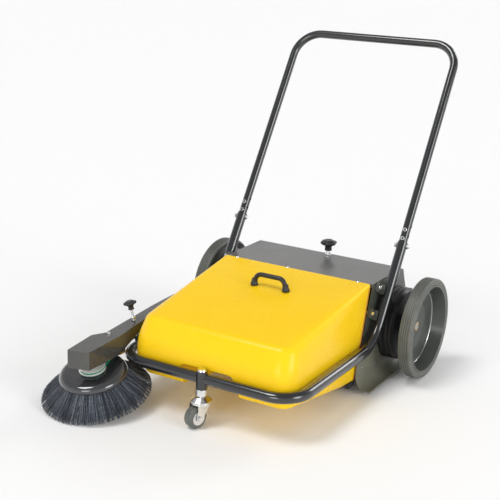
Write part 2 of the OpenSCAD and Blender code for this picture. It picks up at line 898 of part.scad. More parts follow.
side_plate_left();
side_plate_right();
top_cover();
rear_panel();
rear_flap();
side_skirts();
skirt_screws();
frame_tube_left();
frame_tube_right();
caster_socket();
tube_saddles();
saddle_bolts();
handle_tube();
handle_bolts();
stub_axles();
axle_nuts();
gear_case();
tyre_left();
tyre_right();
wheel_rim_left();
wheel_rim_right();
wheel_bearings_left();
wheel_bearings_right();
belt_drive_pulley();
drive_gear();
brush_carrier();
brush_bearings();
brush_shaft();
brush_core();
brush_bristles();
drive_pinion();
brush_knob();
brush_knob_screw();
hopper_shell();
hopper_handle();
hopper_screws();
hopper_lip();
side_arm();
side_arm_bush();
side_arm_bolt();
side_spindle();
side_brush_bearing();
belt_guide_bracket();
guide_roller_inner();
guide_roller_outer();
side_belt();
arm_stop_bracket();
side_knob();
side_knob_screw();
side_pulley();
side_brush_disc();
side_brush_bristles();
caster_stem();
caster_fork();
caster_axle();
caster_hub();
caster_tyre();
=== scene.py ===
"""Looks of the walk behind sweeper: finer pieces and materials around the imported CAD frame."""
import json
import math
import random

import bmesh
import bpy
from mathutils import Matrix, Vector

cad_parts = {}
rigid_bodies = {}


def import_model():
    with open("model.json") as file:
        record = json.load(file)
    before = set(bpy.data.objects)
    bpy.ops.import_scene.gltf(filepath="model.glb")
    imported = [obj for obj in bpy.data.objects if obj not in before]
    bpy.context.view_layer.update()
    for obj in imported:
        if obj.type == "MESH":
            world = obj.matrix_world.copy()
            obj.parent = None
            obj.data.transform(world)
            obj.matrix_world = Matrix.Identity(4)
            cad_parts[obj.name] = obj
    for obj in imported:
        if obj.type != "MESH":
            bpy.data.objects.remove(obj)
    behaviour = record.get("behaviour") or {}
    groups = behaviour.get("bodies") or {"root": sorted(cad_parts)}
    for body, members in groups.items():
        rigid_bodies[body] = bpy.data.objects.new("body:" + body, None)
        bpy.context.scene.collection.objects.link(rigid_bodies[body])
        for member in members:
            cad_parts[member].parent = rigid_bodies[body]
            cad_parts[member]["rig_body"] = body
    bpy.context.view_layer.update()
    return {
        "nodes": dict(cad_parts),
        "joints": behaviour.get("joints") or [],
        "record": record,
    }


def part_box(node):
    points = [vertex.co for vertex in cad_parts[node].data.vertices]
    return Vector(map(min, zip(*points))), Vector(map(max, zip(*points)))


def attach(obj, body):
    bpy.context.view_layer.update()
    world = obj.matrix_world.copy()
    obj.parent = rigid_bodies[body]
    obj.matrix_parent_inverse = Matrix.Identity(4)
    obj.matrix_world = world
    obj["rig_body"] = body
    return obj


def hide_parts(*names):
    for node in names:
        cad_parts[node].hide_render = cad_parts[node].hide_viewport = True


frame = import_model()
record = frame["record"]
joints = {j["name"]: j for j in frame["joints"]}
MM = 0.001
UP = Vector((0, 0, 1))


def joint_line(name):
    """A point on a joint's axis and its direction."""
    return Vector(joints[name]["pos_m"]), Vector(joints[name]["axis"]).normalized()


def box_middle(node):
    """Middle of a CAD node's box."""
    low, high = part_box(node)
    return (low + high) / 2


def side_name(side):
    """Word for a side's sign: -1 is left, 1 is right."""
    return "left" if side < 0 else "right"


# ---------------------------------------------------------------- materials

def new_material(name, base, rough, metallic=0.0):
    """A Principled material and its node tree."""
    material = bpy.data.materials.new(name)
    material.use_nodes = True
    tree = material.node_tree
    shader = tree.nodes["Principled BSDF"]
    shader.inputs["Base Color"].default_value = (*base, 1)
    shader.inputs["Roughness"].default_value = rough
    shader.inputs["Metallic"].default_value = metallic
    return material, tree, shader


def noise(tree, scale, detail=3.0, stretch=(1, 1, 1)):
    """A noise texture's factor in object space, stretched along the axes."""
    place = tree.nodes.new("ShaderNodeTexCoord")
    mapping = tree.nodes.new("ShaderNodeMapping")
    mapping.inputs["Scale"].default_value = stretch
    texture = tree.nodes.new("ShaderNodeTexNoise")
    texture.inputs["Scale"].default_value = scale
    texture.inputs["Detail"].default_value = detail
    tree.links.new(place.outputs["Object"], mapping.inputs["Vector"])
    tree.links.new(mapping.outputs["Vector"], texture.inputs["Vector"])
    return texture.outputs["Fac"]


def colour_between(tree, shader, factor, low, high, spread=(0.35, 0.65)):
    """Base colour that wanders between two colours."""
    ramp = tree.nodes.new("ShaderNodeValToRGB")
    ramp.color_ramp.elements[0].position = spread[0]
    ramp.color_ramp.elements[1].position = spread[1]
    ramp.color_ramp.elements[0].color = (*low, 1)
    ramp.color_ramp.elements[1].color = (*high, 1)
    tree.links.new(factor, ramp.inputs["Fac"])
    tree.links.new(ramp.outputs["Color"], shader.inputs["Base Color"])


def rough_between(tree, shader, factor, low, high):
    """Roughness that wanders between two values."""
    span = tree.nodes.new("ShaderNodeMapRange")
    span.inputs["To Min"].default_value = low
    span.inputs["To Max"].default_value = high
    tree.links.new(factor, span.inputs["Value"])
    tree.links.new(span.outputs["Result"], shader.inputs["Roughness"])


def bump(tree, shader, height, strength, distance):
    """Surface relief from a height."""
    node = tree.nodes.new("ShaderNodeBump")
    node.inputs["Strength"].default_value = strength
    node.inputs["Distance"].default_value = distance
    tree.links.new(height, node.inputs["Height"])
    tree.links.new(node.outputs["Normal"], shader.inputs["Normal"])


def surface(name, low, high, rough, metallic=0.0, scale=60, relief=0.15, depth=0.0004,
            grain=900, coat=0.0, stretch=(1, 1, 1), specular=0.5):
    """The usual finish: wandering colour and roughness with a fine grain."""
    material, tree, shader = new_material(name, low, rough[0], metallic)
    shader.inputs["Coat Weight"].default_value = coat
    shader.inputs["Coat Roughness"].default_value = 0.06
    shader.inputs["Specular IOR Level"].default_value = specular
    wander = noise(tree, scale, 4.0, stretch)
    colour_between(tree, shader, wander, low, high)
    rough_between(tree, shader, noise(tree, scale * 2.3, 3.0, stretch), *rough)
    bump(tree, shader, noise(tree, grain, 2.0), relief, depth)
    return material


MATERIALS = {
    "plate_steel": surface("plate_paint", (0.052, 0.057, 0.045), (0.060, 0.065, 0.052),
                           (0.36, 0.44), scale=22, coat=0.15),
    "cover_steel": surface("cover_paint", (0.150, 0.146, 0.143), (0.165, 0.161, 0.158),
                           (0.30, 0.38), metallic=0.35, scale=18, coat=0.2),
    "tube_paint": surface("tube_gloss", (0.008, 0.009, 0.011), (0.011, 0.012, 0.014),
                          (0.18, 0.24), scale=20, relief=0.02, grain=400, coat=0.8),
    "hopper_plastic": surface("hopper_yellow", (0.930, 0.590, 0.008), (0.940, 0.600, 0.010),
                              (0.24, 0.30), scale=7, relief=0.02, grain=160, coat=0.04,
                              specular=0.20),
    "black_plastic": surface("moulded_black", (0.012, 0.012, 0.014), (0.018, 0.018, 0.020),
                             (0.30, 0.40), scale=60, relief=0.15),
    "black_rubber": surface("rubber_black", (0.016, 0.016, 0.016), (0.026, 0.026, 0.026),
                            (0.60, 0.78), scale=70, relief=0.3),
    "skirt_rubber": surface("rubber_olive", (0.150, 0.148, 0.108), (0.175, 0.172, 0.130),
                            (0.38, 0.50), scale=25, relief=0.15, stretch=(1, 0.4, 1)),
    "tyre_rubber": surface("rubber_tyre", (0.098, 0.102, 0.090), (0.122, 0.126, 0.111),
                           (0.42, 0.54), scale=40, relief=0.2),
    "rim_plastic": surface("rim_dark", (0.046, 0.053, 0.044), (0.056, 0.063, 0.054),
                           (0.26, 0.34), scale=35, relief=0.1, coat=0.2),
    "zinc": surface("zinc_plate", (0.72, 0.73, 0.74), (0.80, 0.80, 0.80), (0.16, 0.28),
                    metallic=1.0, scale=120, relief=0.08),
    "brass_zinc": surface("zinc_yellow", (0.66, 0.48, 0.24), (0.74, 0.56, 0.30),
                          (0.22, 0.34), metallic=1.0, scale=120, relief=0.1),
    "bare_steel": surface("steel_turned", (0.52, 0.52, 0.53), (0.60, 0.60, 0.61),
                          (0.24, 0.36), metallic=1.0, scale=90, relief=0.12),
    "gear_plastic": surface("nylon_natural", (0.62, 0.60, 0.52), (0.70, 0.68, 0.60),
                            (0.4, 0.5), scale=60, relief=0.15),
    "white_plastic": surface("moulded_white", (0.80, 0.80, 0.78), (0.88, 0.88, 0.86),
                             (0.30, 0.40), scale=60, relief=0.1),
    "belt_green": surface("belt_urethane", (0.004, 0.180, 0.100), (0.008, 0.240, 0.140),
                          (0.3, 0.4), scale=80, relief=0.15),
    "brush_fibre": surface("bristle_fibre", (0.018, 0.021, 0.029), (0.044, 0.052, 0.068),
                           (0.22, 0.36), scale=260, relief=0.0, stretch=(1, 1, 0.4)),
    "disc_plastic": surface("disc_gloss", (0.030, 0.031, 0.034), (0.036, 0.037, 0.041),
                            (0.10, 0.15), scale=25, relief=0.03, grain=300, coat=1.0),
    "arm_steel": surface("arm_paint", (0.050, 0.049, 0.044), (0.059, 0.058, 0.052),
                         (0.24, 0.32), scale=22, coat=0.5),
}
# Paler blue-grey copy of the bristle fibre: painted highlight streaks on the side brush.
FIBRE_PAINTED_HIGHLIGHT = surface("bristle_fibre_painted_highlight", (0.090, 0.105, 0.135), (0.200, 0.220, 0.260),
                      (0.20, 0.32), scale=260, relief=0.0, stretch=(1, 1, 0.4))
# Darker orange copy of the yellow hopper plastic: painted shade on the flange along the hopper's
# rear side edges.
HOPPER_EDGE_PAINTED_SHADE = surface("hopper_edge_painted_shade", (0.520, 0.170, 0.006), (0.560, 0.190, 0.008),
                      (0.30, 0.40), scale=30, relief=0.05)
SLOT_OF = {part["node"]: part["material_slot"] for part in record["subparts"]}


# ---------------------------------------------------------------- mesh helpers

def add_mesh(name, verts, faces, smooth_angle=35):
    """A mesh object from points and faces, smooth except at sharp edges."""
    mesh = bpy.data.meshes.new(name)
    mesh.from_pydata([tuple(v) for v in verts], [], faces)
    mesh.validate()
    piece = bpy.data.objects.new(name, mesh)
    bpy.context.scene.collection.objects.link(piece)
    shade(piece, smooth_angle)
    return piece


def shade(piece, angle):
    """Smooth shading with edges over the angle kept sharp."""
    work = bmesh.new()
    work.from_mesh(piece.data)
    limit = math.radians(angle)
    for face in work.faces:
        face.smooth = True
    for edge in work.edges:
        edge.smooth = len(edge.link_faces) != 2 or edge.calc_face_angle(0) < limit
    work.to_mesh(piece.data)
    work.free()


def outward(piece):
    """Turns all faces outwards."""
    work = bmesh.new()
    work.from_mesh(piece.data)
    bmesh.ops.recalc_face_normals(work, faces=work.faces)
    work.to_mesh(piece.data)
    work.free()


def give(piece, body, slot_name, nodes=(), material=None):
    """Material and body of a piece, the material looked up by slot name unless one is given, and
    the CAD nodes that it stands for, which are hidden.
    """
    piece.data.materials.clear()
    piece.data.materials.append(material or MATERIALS[slot_name])
    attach(piece, body)
    if nodes:
        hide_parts(*nodes)
    return piece


def skin(node, bevel, steps=2, angle=35):
    """A copy of a CAD node's surface with welded points and softly broken edges."""
    source = frame["nodes"][node]
    piece = bpy.data.objects.new(node + "_skin", source.data.copy())
    bpy.context.scene.collection.objects.link(piece)
    work = bmesh.new()
    work.from_mesh(piece.data)
    bmesh.ops.remove_doubles(work, verts=work.verts, dist=2e-6)
    bmesh.ops.dissolve_limit(work, angle_limit=math.radians(0.4), verts=work.verts,
                             edges=work.edges)
    work.to_mesh(piece.data)
    work.free()
    shade(piece, angle)
    if bevel:
        soft = piece.modifiers.new("edges", "BEVEL")
        soft.width = bevel
        soft.segments = steps
        soft.limit_method = "ANGLE"
        soft.angle_limit = math.radians(angle)
        soft.harden_normals = True
    give(piece, source["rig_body"], SLOT_OF[node], [node])
    return piece


def lathe(name, profile, origin, axis, steps=96, closed=True, wobble=None):
    """Solid turned about a line, from [radius, along] points in metres."""
    axis = axis.normalized()
    side = axis.orthogonal().normalized()
    other = axis.cross(side)
    verts, faces = [], []
    count = len(profile)
    for i in range(steps):
        a = 2 * math.pi * i / steps
        for r, h in profile:
            scaled = r * (wobble(a, r, h) if wobble else 1.0)
            verts.append(origin + axis * h + scaled * (math.cos(a) * side + math.sin(a) * other))
    last = count if closed else count - 1
    for i in range(steps):
        j = (i + 1) % steps
        for k in range(last):
            m = (k + 1) % count
            faces.append((i * count + k, j * count + k, j * count + m, i * count + m))
    if not closed:
        faces.append(tuple(i * count for i in range(steps)))
        faces.append(tuple(i * count + count - 1 for i in reversed(range(steps))))
    piece = add_mesh(name, verts, faces)
    outward(piece)
    shade(piece, 35)
    return piece


def arc(centre, radius, start, end, steps):
    """Points of a circular arc in a profile, with angles in degrees."""
    return [(centre[0] + radius * math.cos(math.radians(start + (end - start) * i / steps)),
             centre[1] + radius * math.sin(math.radians(start + (end - start) * i / steps)))
            for i in range(steps + 1)]


def tube(name, route, radius, sides=16, closed=False):
    """Round tube swept along points."""
    count = len(route)
    verts, faces = [], []
    for i, point in enumerate(route):
        if closed:
            before, after = route[i - 1], route[(i + 1) % count]
        else:
            before, after = route[max(i - 1, 0)], route[min(i + 1, count - 1)]
        way = (after - before).normalized()
        across = way.cross(Vector((0.1, 0.2, 1))).normalized()
        up = across.cross(way)
        for s in range(sides):
            a = 2 * math.pi * s / sides
            verts.append(point + radius * (math.cos(a) * across + math.sin(a) * up))
    for i in range(count if closed else count - 1):
        j = (i + 1) % count
        for s in range(sides):
            t = (s + 1) % sides
            faces.append((i * sides + s, i * sides + t, j * sides + t, j * sides + s))
    if not closed:
        faces.append(tuple(range(sides)))
        faces.append(tuple(reversed(range((count - 1) * sides, count * sides))))
    piece = add_mesh(name, verts, faces, 60)
    outward(piece)
    shade(piece, 60)
    return piece


def cut(piece, tool, operation="DIFFERENCE"):
    """Applies a boolean with another object, which is then removed."""
    step = piece.modifiers.new("cut", "BOOLEAN")
    step.object = tool
    step.operation = operation
    step.solver = "EXACT"
    apply_modifiers(piece)
    bpy.data.objects.remove(tool)


def apply_modifiers(piece):
    """Replaces a piece's mesh with its evaluated one."""
    bpy.context.view_layer.update()
    graph = bpy.context.evaluated_depsgraph_get()
    mesh = bpy.data.meshes.new_from_object(piece.evaluated_get(graph))
    piece.modifiers.clear()
    piece.data = mesh


def hull_of(name, points):
    """Convex hull of points as an object, with its flat faces merged."""
    work = bmesh.new()
    for point in points:
        work.verts.new(point)
    out = bmesh.ops.convex_hull(work, input=work.verts)
    loose = [v for v in out["geom_interior"] + out["geom_unused"]
             if isinstance(v, bmesh.types.BMVert)]
    bmesh.ops.delete(work, geom=list(set(loose)), context="VERTS")
    bmesh.ops.dissolve_limit(work, angle_limit=math.radians(0.3), verts=work.verts,
                             edges=work.edges)
    mesh = bpy.data.meshes.new(name)
    work.to_mesh(mesh)
    work.free()
    piece = bpy.data.objects.new(name, mesh)
    bpy.context.scene.collection.objects.link(piece)
    return piece


# ---------------------------------------------------------------- hopper

HOPPER_WALL = 3 * MM
HOPPER_TOP = 0.308
HOPPER_WAIST = 0.134
HOPPER_BOTTOM = 0.036


def post(x, y, bottom, top, radius, round_top=0.0, round_bottom=0.0, steps=28):
    """Points of an upright corner post on both sides, with rounded ends."""
    profile = []
    if round_bottom:
        profile += arc((radius - round_bottom, bottom + round_bottom), round_bottom, -90, 0, 6)
    else:
        profile.append((radius, bottom))
    if round_top:
        profile += arc((radius - round_top, top - round_top), round_top, 0, 90, 8)
    else:
        profile.append((radius, top))
    points = []
    for r, z in profile:
        for i in range(steps):
            a = 2 * math.pi * i / steps
            points += [Vector((side * (x + r * math.cos(a)), y + r * math.sin(a), z))
                       for side in (-1, 1)]
    return points


# Corner posts [x, y, z] that round the front between its slanting and upright parts
HOPPER_SHOULDER = [(0.1925, -0.5715, 0.212), (0.1945, -0.5775, 0.201), (0.1962, -0.5820, 0.189),
                   (0.1975, -0.5848, 0.176), (0.1985, -0.5858, 0.160)]


def hopper_solid(name, s):
    """The hopper's outer solid, or with s the solid of its inside."""
    corner = 0.052
    hood = hull_of(name + "_hood",
                   post(0.236 - s, -0.164, 0.290, HOPPER_TOP - s, 0.007, 0.006)
                   + post(0.190 - s, -0.564 + s, 0.205, 0.251 - s, corner, 0.030)
                   + [p for x, y, z in HOPPER_SHOULDER
                      for p in post(x - s, y + s, z, z + 0.001, corner)]
                   + post(0.199 - s, -0.586 + s, HOPPER_WAIST, 0.136, corner)
                   + post(0.244 - s, -0.222 - s, HOPPER_WAIST, 0.136, 0.006))
    bottom = HOPPER_BOTTOM + s
    bin_part = hull_of(name + "_bin",
                       post(0.197 - s, -0.583 + s, HOPPER_WAIST, 0.1362, 0.050)
                       + post(0.244 - s, -0.222 - s, HOPPER_WAIST, 0.1362, 0.0062)
                       + post(0.197 - s, -0.576 + s, 0.082 + s, 0.092 + s, 0.038, 0, 0.009)
                       + post(0.228 - s, -0.300 - s, bottom, bottom + 0.01, 0.008, 0, 0.007)
                       + post(0.236 - s, -0.234 - s, bottom, bottom + 0.01, 0.006, 0, 0.005))
    cut(hood, bin_part, "UNION")
    return hood


def prism_x(name, half, outline):
    """Block across X from an outline given as (y, z) points."""
    count = len(outline)
    verts = [(side * half, y, z) for side in (-1, 1) for y, z in outline]
    faces = [tuple(reversed(range(count))), tuple(range(count, 2 * count))]
    faces += [(i, (i + 1) % count, count + (i + 1) % count, count + i) for i in range(count)]
    piece = add_mesh(name, verts, faces)
    outward(piece)
    return piece


def front_arch(name, grow):
    """Solid of the raised arch above the caster."""
    half, top, chamfer = 0.088 + grow, 0.152 + grow, 0.022
    near, far = -0.700, -0.425 + grow
    section = ([(-half, 0.02), (half, 0.02), (half, top - chamfer)]
               + [(half - chamfer * (1 - math.cos(t)), top - chamfer * (1 - math.sin(t)))
                  for t in [math.radians(a) for a in range(15, 90, 15)]]
               + [(half - chamfer, top), (-half + chamfer, top)]
               + [(-half + chamfer * (1 - math.sin(t)), top - chamfer * (1 - math.cos(t)))
                  for t in [math.radians(a) for a in range(15, 90, 15)]]
               + [(-half, top - chamfer)])
    count = len(section)
    verts = [(x, y, z) for y in (near, far) for x, z in section]
    faces = [tuple(range(count)), tuple(reversed(range(count, 2 * count)))]
    faces += [(i, (i + 1) % count, count + (i + 1) % count, count + i) for i in range(count)]
    block = add_mesh(name, verts, faces)
    outward(block)
    slope = prism_x(name + "_slope", 0.3, [
        (-0.72, 0.0), (-0.72, top), (-0.628, top), (far, 0.054 + grow), (far, 0.0)])
    cut(block, slope, "INTERSECT")
    return block


def hopper():
    """Thin moulded shell with soft edges, an arch at the front and an open rear."""
    shell = hopper_solid("hopper_moulding", 0.0)
    inside = hopper_solid("hopper_inside", HOPPER_WALL)
    cut(inside, front_arch("arch_inside", HOPPER_WALL))
    cut(shell, inside)
    cut(shell, front_arch("arch_outside", 0.0))
    mouth = prism_x("hopper_mouth", 0.226, [
        (-0.10, 0.300), (-0.170, 0.300), (-0.260, 0.050), (-0.10, 0.050)])
    cut(shell, mouth)
    shade(shell, 28)
    give(shell, "hopper", "hopper_plastic", ["hopper_shell"])
    for side in (-1, 1):
        name = side_name(side)
        # Flange bead of the yellow moulding, coloured darker orange as painted shade.
        edge = tube(f"hopper_edge_{name}", [
            Vector((side * 0.2405, -0.2375, 0.040)), Vector((side * 0.2482, -0.2265, 0.134)),
            Vector((side * 0.2412, -0.1690, 0.297))], 0.0036, 12)
        give(edge, "hopper", "hopper_plastic", material=HOPPER_EDGE_PAINTED_SHADE)
        pad = hull_of(f"hopper_edge_pad_{name}", [
            Vector((side * x, y, z)) for x in (0.228, 0.2415) for y in (-0.262, -0.232)
            for z in (0.020, 0.0355)])
        shade(pad, 30)
        give(pad, "hopper", "black_rubber")


def hopper_top_z(y):
    """Height of the hopper's sloping top."""
    return HOPPER_TOP - (-y - 0.171) * 57 / 445


def pull_handle():
    """Moulded bow handle: a round bar on two flared feet."""
    low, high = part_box("hopper_handle")
    y = (low.y + high.y) / 2
    base_z = hopper_top_z(y)
    top_z = high.z - 0.0055
    half = high.x - 0.010
    route = [Vector((-half, y, base_z + 0.002)), Vector((-half + 0.001, y, base_z + 0.012))]
    bend = 0.020
    for i in range(9):
        a = math.radians(180 - 90 * i / 8)
        route.append(Vector((-half + 0.004 + bend + bend * math.cos(a), y,
                             top_z - bend + bend * math.sin(a))))
    mirrored = [Vector((-p.x, p.y, p.z)) for p in reversed(route)]
    bow = tube("pull_handle_bow", route + mirrored, 0.0068, 20)
    give(bow, "hopper", "black_plastic", ["hopper_handle"])
    for side in (-1, 1):
        foot = lathe(f"pull_handle_foot_{side_name(side)}", [
            (0.0, 0.0), (0.0110, 0.0), (0.0112, 0.003), (0.0104, 0.006), (0.0078, 0.014),
            (0.0070, 0.020), (0.0, 0.020)],
            Vector((side * (half - 0.0005), y, base_z)), UP, 32, closed=False)
        give(foot, "hopper", "black_plastic")


# ---------------------------------------------------------------- wheels

def tyre(node, body, joint, sign):
    """Solid tyre with fine lines round its tread and side walls."""
    low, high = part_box(node)
    centre, _ = joint_line(joint)
    origin = Vector((0, centre.y, centre.z))
    axis = Vector((sign, 0, 0))
    inner_face, outer_face = sorted((abs(low.x), abs(high.x)))
    radius = high.z - centre.z
    shoulder = 0.007
    seat_r = 0.131
    line = 0.0005
    groove, half_groove, taper = 0.0018, 0.0013, 0.0003
    profile = [(seat_r, inner_face + 0.002)]
    for i in range(5):
        r = 0.133 + i * 0.0018
        profile += [(r, inner_face + 0.0012 - i * 0.0003), (r + 0.0006, inner_face + 0.0022)]
    profile += arc((radius - shoulder, inner_face + shoulder), shoulder, 265, 360, 8)
    tread = outer_face - inner_face - 2 * shoulder
    lines = 4
    for i in range(lines):
        along = inner_face + shoulder + tread * (i + 0.5) / lines
        profile += [(radius, along - half_groove), (radius - groove, along - half_groove + taper),
                    (radius - groove, along + half_groove - taper), (radius, along + half_groove)]
    profile += arc((radius - shoulder, outer_face - shoulder), shoulder, 0, 90, 8)
    for r in (0.1415, 0.1385):
        profile += [(r + 0.0006, outer_face), (r + 0.0003, outer_face - line),
                    (r - 0.0003, outer_face - line), (r - 0.0006, outer_face)]
    profile += [(0.1345, outer_face), (seat_r, outer_face - 0.003)]
    piece = lathe(node + "_ribbed", profile, origin, axis, 144)
    give(piece, body, "tyre_rubber", [node])


def rim_rings(node, body, joint, sign):
    """Raised rings and a bead on the wheel disc's outer face."""
    centre, _ = joint_line(joint)
    origin = Vector((0, centre.y, centre.z))
    axis = Vector((sign, 0, 0))
    bead = lathe(node + "_bead", [(0.1125, 0.3295), (0.1128, 0.3325), (0.1137, 0.3335),
                                  (0.1146, 0.3325), (0.1148, 0.3305)], origin, axis, 128)
    give(bead, body, "bare_steel")
    for n, (r, along) in enumerate(((0.050, 0.3165), (0.082, 0.3225))):
        ring = lathe(f"{node}_ring_{n}", [
            (r - 0.002, along + 0.0008), (r - 0.001, along + 0.0026), (r + 0.001, along + 0.0030),
            (r + 0.002, along + 0.0016), (r + 0.002, along + 0.0005)], origin, axis, 96)
        give(ring, body, "rim_plastic")


# ---------------------------------------------------------------- brushes

def bristle(verts, faces, root, way, length, width, droop, rng):
    """One flat-sided tapering bristle, bent a little towards droop."""
    side = way.cross(Vector((rng.uniform(-1, 1), rng.uniform(-1, 1), rng.uniform(-1, 1))))
    side = side.normalized()
    other = way.cross(side).normalized()
    segments = 3
    start = len(verts)
    for k in range(segments + 1):
        t = k / segments
        point = root + way * (length * t) + droop * (t * t * length)
        w = width * (1 - 0.45 * t)
        verts += [point + side * w, point - side * (w * 0.5) + other * (w * 0.87),
                  point - side * (w * 0.5) - other * (w * 0.87)]
    for k in range(segments):
        for s in range(3):
            a, b = start + 3 * k + s, start + 3 * k + (s + 1) % 3
            faces.append((a, b, b + 3, a + 3))
    faces.append((start + 3 * segments, start + 3 * segments + 1, start + 3 * segments + 2))
    faces.append((start + 2, start + 1, start))


def side_brush_bristles():
    """Skirt of splayed tufts round the disc and a dense core behind them; the pale bristles are
    painted highlight streaks.
    """
    origin, axis = joint_line("side_brush_spin")
    across = Vector((1, 0, 0))
    along = axis.cross(across)
    rng = random.Random(5)
    rim_r, top_r, top_h = 0.1525, 0.091, 0.0560
    per_tuft, painted_highlight_share, fibre_r = 24, 0.55, 0.00062
    rows = ((72, 0.0905, rim_r), (66, 0.0830, 0.139), (58, 0.0740, 0.124), (48, 0.0650, 0.111))
    # Two bins of bristles: 'dark' in the fibre's own colour, 'light' in the paler copy, which is
    # painted highlight.
    fibre_and_painted_highlight = {"dark": ([], []), "light": ([], [])}
    for count, root_r, tip_r in rows:
        for i in range(count):
            mid = 2 * math.pi * (i + rng.uniform(-0.12, 0.12)) / count
            highlight_streak = rng.random()
            for _ in range(per_tuft):
                a = mid + rng.gauss(0, 0.42) / count * 2 * math.pi * 0.5
                spread = a + rng.gauss(0, 0.011)
                # Each tuft's random share decides how many of its bristles get the painted
                # highlight colour.
                highlight_pick = "light" if rng.random() < painted_highlight_share * highlight_streak else "dark"
                verts, faces = fibre_and_painted_highlight[highlight_pick]
                radial = math.cos(a) * across + math.sin(a) * along
                tip_dir = math.cos(spread) * across + math.sin(spread) * along
                root = origin + radial * (root_r + rng.uniform(-0.0025, 0.002)) + axis * top_h
                tip_at = min(tip_r + rng.uniform(-0.0025, 0.001), rim_r)
                tip = origin + tip_dir * tip_at + axis * rng.uniform(0.0, 0.004)
                way = tip - root
                length = way.length
                bulge = axis * 0.05 * rng.uniform(0.4, 1.0)
                bristle(verts, faces, root, (way / length) + bulge, length, fibre_r,
                        -bulge, rng)
    hair = add_mesh("side_brush_tufts", *fibre_and_painted_highlight["dark"], 50)
    give(hair, "side_brush", "brush_fibre", ["side_brush_bristles"])
    # Bristles in the paler copy of the fibre: painted highlight streaks.
    pale = add_mesh("side_brush_tufts_painted_highlight", *fibre_and_painted_highlight["light"], 50)
    give(pale, "side_brush", "brush_fibre", material=FIBRE_PAINTED_HIGHLIGHT)
    core = lathe("side_brush_packing", [
        (0.060, top_h), (top_r - 0.003, top_h), (0.121, 0.030), (0.138, 0.012), (0.112, 0.006)],
        origin, axis, 96)
    give(core, "side_brush", "brush_fibre")


def main_brush_bristles():
    """Helical rows of tufts on the main brush's core."""
    low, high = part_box("brush_bristles")
    origin, _ = joint_line("main_brush_spin")
    rng = random.Random(8)
    radius = (high.z - low.z) / 2
    core_r = 0.045
    verts, faces = [], []
    rows, tufts, per_tuft, fibre_r = 10, 58, 9, 0.0008
    for row in range(rows):
        for i in range(tufts):
            t = (i + 0.5) / tufts
            x = low.x + (high.x - low.x) * t
            base = 2 * math.pi * row / rows + 0.9 * abs(t - 0.5)
            for _ in range(per_tuft):
                a = base + rng.gauss(0, 0.035)
                at = x + rng.gauss(0, 0.0022)
                at = min(max(at, low.x + 0.001), high.x - 0.001)
                radial = Vector((0, math.cos(a), math.sin(a)))
                sway = Vector((rng.gauss(0, 0.02), 0, 0))
                root = Vector((at, origin.y, origin.z)) + radial * (core_r - 0.002)
                length = radius - core_r - rng.uniform(0.001, 0.004)
                way = (radial + sway).normalized()
                if not low.x < (root + way * length).x < high.x:
                    way = radial
                bristle(verts, faces, root, way, length, fibre_r, Vector((0, 0, 0)), rng)
    hair = add_mesh("main_brush_tufts", verts, faces, 50)
    give(hair, "main_brush", "brush_fibre", ["brush_bristles"])


# ---------------------------------------------------------------- knobs and screws

def knob(node, body, origin, axis, radius, height):
    """Lobed hand knob with rounded grips and a dished cap."""
    def lobes(angle, r, _h):
        grip = 0.5 + 0.5 * math.cos(6 * angle)
        depth = 0.17 * max(0.0, (r / radius - 0.55) / 0.45)
        return 1.0 - depth * (1 - grip) ** 1.6

    neck = radius * 0.44
    profile = [(0.0, 0.0), (neck, 0.0), (neck, height * 0.06), (neck * 0.9, height * 0.30)]
    profile += [(neck * 1.05, height * 0.44), (radius * 0.80, height * 0.56)]
    profile += arc((radius - height * 0.14, height * 0.74), height * 0.14, -60, 90, 10)
    profile += [(radius * 0.62, height * 0.93), (radius * 0.56, height * 0.95),
                (radius * 0.50, height * 1.0), (0.0, height * 1.0)]
    piece = lathe(node + "_lobed", profile, origin, axis, 96, closed=False, wobble=lobes)
    give(piece, body, "black_plastic", [node])


def threaded_stud(name, origin, axis, start, end, radius, body, pitch=0.00125):
    """Round stud with thread ridges between two distances along its axis."""
    turns = int((end - start) / pitch)
    profile = [(0.0, start)]
    for i in range(turns):
        at = start + i * pitch
        profile += [(radius - 0.0006, at), (radius, at + pitch * 0.5)]
    profile += [(radius - 0.0006, start + turns * pitch), (0.0, start + turns * pitch)]
    piece = lathe(name, profile, origin, axis, 32, closed=False)
    shade(piece, 80)
    give(piece, body, "zinc")


def hex_nut(name, origin, axis, start, end, across, body, slot_name="zinc"):
    """Hexagon nut with chamfered corners."""
    tip = across / math.sqrt(3)

    def hexagon(angle, r, _h):
        local = (angle + math.pi / 6) % (math.pi / 3) - math.pi / 6
        flat = (across / 2) / math.cos(local)
        return min(flat, r) / r if r > 0 else 1.0

    profile = [(0.0, start), (across / 2 - 0.0004, start), (tip, start + 0.0011),
               (tip, end - 0.0011), (across / 2 - 0.0004, end), (0.0, end)]
    piece = lathe(name, profile, origin, axis, 72, closed=False, wobble=hexagon)
    shade(piece, 25)
    give(piece, body, slot_name)


